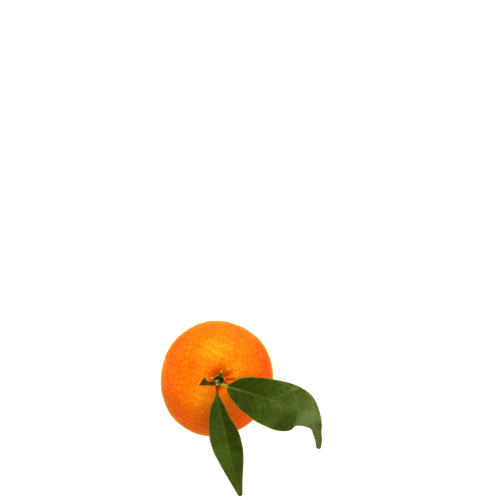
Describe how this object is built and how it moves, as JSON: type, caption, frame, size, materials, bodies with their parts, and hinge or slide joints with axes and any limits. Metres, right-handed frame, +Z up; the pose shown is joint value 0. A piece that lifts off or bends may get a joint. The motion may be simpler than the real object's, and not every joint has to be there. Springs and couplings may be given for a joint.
{
  "type": "mandarin",
  "caption": "Fresh mandarin as picked: whole flattened round fruit with a star calyx, a short cut stem, drooping glossy leaves and the torn stub of another leaf.",
  "frame": {"origin": "middle of the flat spot under the fruit, on the surface that it rests on", "axes": "+Z up through the stem end, +X towards the wide leaf, -Y towards the narrow leaf"},
  "size_m": [0.0839, 0.0915, 0.0566],
  "materials": {
    "rind": "bright orange citrus rind, finely pitted with oil glands, waxy satin",
    "calyx": "dry olive green sepals with pale tan tips, matte",
    "stem": "green bark with a pale cut end, matte",
    "leaf": "deep green waxy blade, satin above and paler and matte below, with fine veins"
  },
  "bodies": {
    "root": {"fruit": "rind", "calyx": "calyx", "stem": "stem", "leaf_right": "leaf", "leaf_front": "leaf", "leaf_torn": "leaf"}
  },
  "joints": []
}
